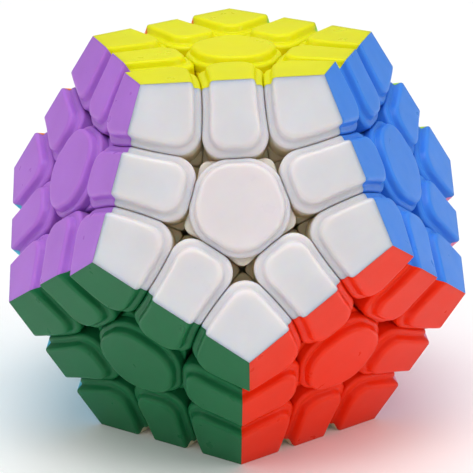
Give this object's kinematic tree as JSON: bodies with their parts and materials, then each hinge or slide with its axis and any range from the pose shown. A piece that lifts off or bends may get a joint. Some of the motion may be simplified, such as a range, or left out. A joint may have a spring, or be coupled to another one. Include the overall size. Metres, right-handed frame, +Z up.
{
  "type": "dodecahedron twisty puzzle",
  "caption": "Dodecahedron-shaped twisty puzzle: coloured corner, edge and centre pieces on a sprung core, with layers that turn about the face axes.",
  "frame": {"origin": "middle of the core, which is the common centre of all twelve faces", "axes": "+Z up through the yellow face, standing on the cream face; the white face looks towards -Y, 26.57 degrees upwards; +X towards the right of a viewer facing the white face"},
  "size_m": [0.0864, 0.0908, 0.0741],
  "materials": {
    "white_plastic": "smooth satin-gloss moulded ABS",
    "yellow_plastic": "smooth satin-gloss moulded ABS",
    "blue_plastic": "smooth satin-gloss moulded ABS",
    "purple_plastic": "smooth satin-gloss moulded ABS",
    "red_plastic": "smooth satin-gloss moulded ABS",
    "green_plastic": "smooth satin-gloss moulded ABS",
    "lime_plastic": "smooth satin-gloss moulded ABS",
    "orange_plastic": "smooth satin-gloss moulded ABS",
    "pink_plastic": "smooth satin-gloss moulded ABS",
    "cream_plastic": "smooth satin-gloss moulded ABS",
    "cyan_plastic": "smooth satin-gloss moulded ABS",
    "grey_plastic": "smooth satin-gloss moulded ABS",
    "piece_plastic": "moulded ABS; each shell has the colour of the face that it is on",
    "inner_plastic": "smooth sliding plastic",
    "core_plastic": "moulded",
    "zinc_steel": "zinc plated",
    "spring_steel": "drawn wire"
  },
  "bodies": {
    "root": {"centre_bases": "inner_plastic", "centre_cap_blue": "blue_plastic", "centre_cap_cyan": "cyan_plastic", "centre_cap_green": "green_plastic", "centre_cap_grey": "grey_plastic", "centre_cap_orange": "orange_plastic", "centre_cap_pink": "pink_plastic", "centre_cap_purple": "purple_plastic", "centre_cap_red": "red_plastic", "centre_cap_yellow": "yellow_plastic", "core": "core_plastic", "corner_blue_red_pink": "piece_plastic", "corner_orange_grey_cyan": "piece_plastic", "corner_orange_purple_cyan": "piece_plastic", "corner_purple_cyan_green": "piece_plastic", "corner_yellow_orange_purple": "piece_plastic", "edge_pieces_back": "piece_plastic", "edge_pieces_left": "piece_plastic", "edge_pieces_lower_left": "piece_plastic", "edge_pieces_right": "piece_plastic", "edge_pieces_top": "piece_plastic", "screws": "zinc_steel", "springs": "spring_steel", "washers": "zinc_steel"},
    "white_layer": {"centre_base_white": "inner_plastic", "centre_cap_white": "white_plastic", "corner_white_blue_red": "piece_plastic", "corner_white_green_red": "piece_plastic", "corner_white_purple_green": "piece_plastic", "corner_white_yellow_blue": "piece_plastic", "corner_white_yellow_purple": "piece_plastic", "edge_white_blue": "piece_plastic", "edge_white_green": "piece_plastic", "edge_white_purple": "piece_plastic", "edge_white_red": "piece_plastic", "edge_white_yellow": "piece_plastic"},
    "lime_layer": {"centre_base_lime": "inner_plastic", "centre_cap_lime": "lime_plastic", "corner_lime_blue_pink": "piece_plastic", "corner_lime_grey_pink": "piece_plastic", "corner_lime_orange_grey": "piece_plastic", "corner_lime_yellow_blue": "piece_plastic", "corner_lime_yellow_orange": "piece_plastic", "edge_lime_blue": "piece_plastic", "edge_lime_grey": "piece_plastic", "edge_lime_orange": "piece_plastic", "edge_lime_pink": "piece_plastic", "edge_lime_yellow": "piece_plastic"},
    "cream_layer": {"centre_base_cream": "inner_plastic", "centre_cap_cream": "cream_plastic", "corner_cream_cyan_green": "piece_plastic", "corner_cream_green_red": "piece_plastic", "corner_cream_grey_cyan": "piece_plastic", "corner_cream_grey_pink": "piece_plastic", "corner_cream_red_pink": "piece_plastic", "edge_cream_cyan": "piece_plastic", "edge_cream_green": "piece_plastic", "edge_cream_grey": "piece_plastic", "edge_cream_pink": "piece_plastic", "edge_cream_red": "piece_plastic"}
  },
  "joints": [
    {"name": "white_layer_turn", "type": "hinge", "parent": "root", "child": "white_layer", "pos_m": [0, 0, 0], "axis": [0, -0.8944, 0.4472], "continuous": true},
    {"name": "lime_layer_turn", "type": "hinge", "parent": "root", "child": "lime_layer", "pos_m": [0, 0, 0], "axis": [0.5257, 0.7236, 0.4472], "continuous": true},
    {"name": "cream_layer_turn", "type": "hinge", "parent": "root", "child": "cream_layer", "pos_m": [0, 0, 0], "axis": [0, 0, -1], "continuous": true}
  ]
}
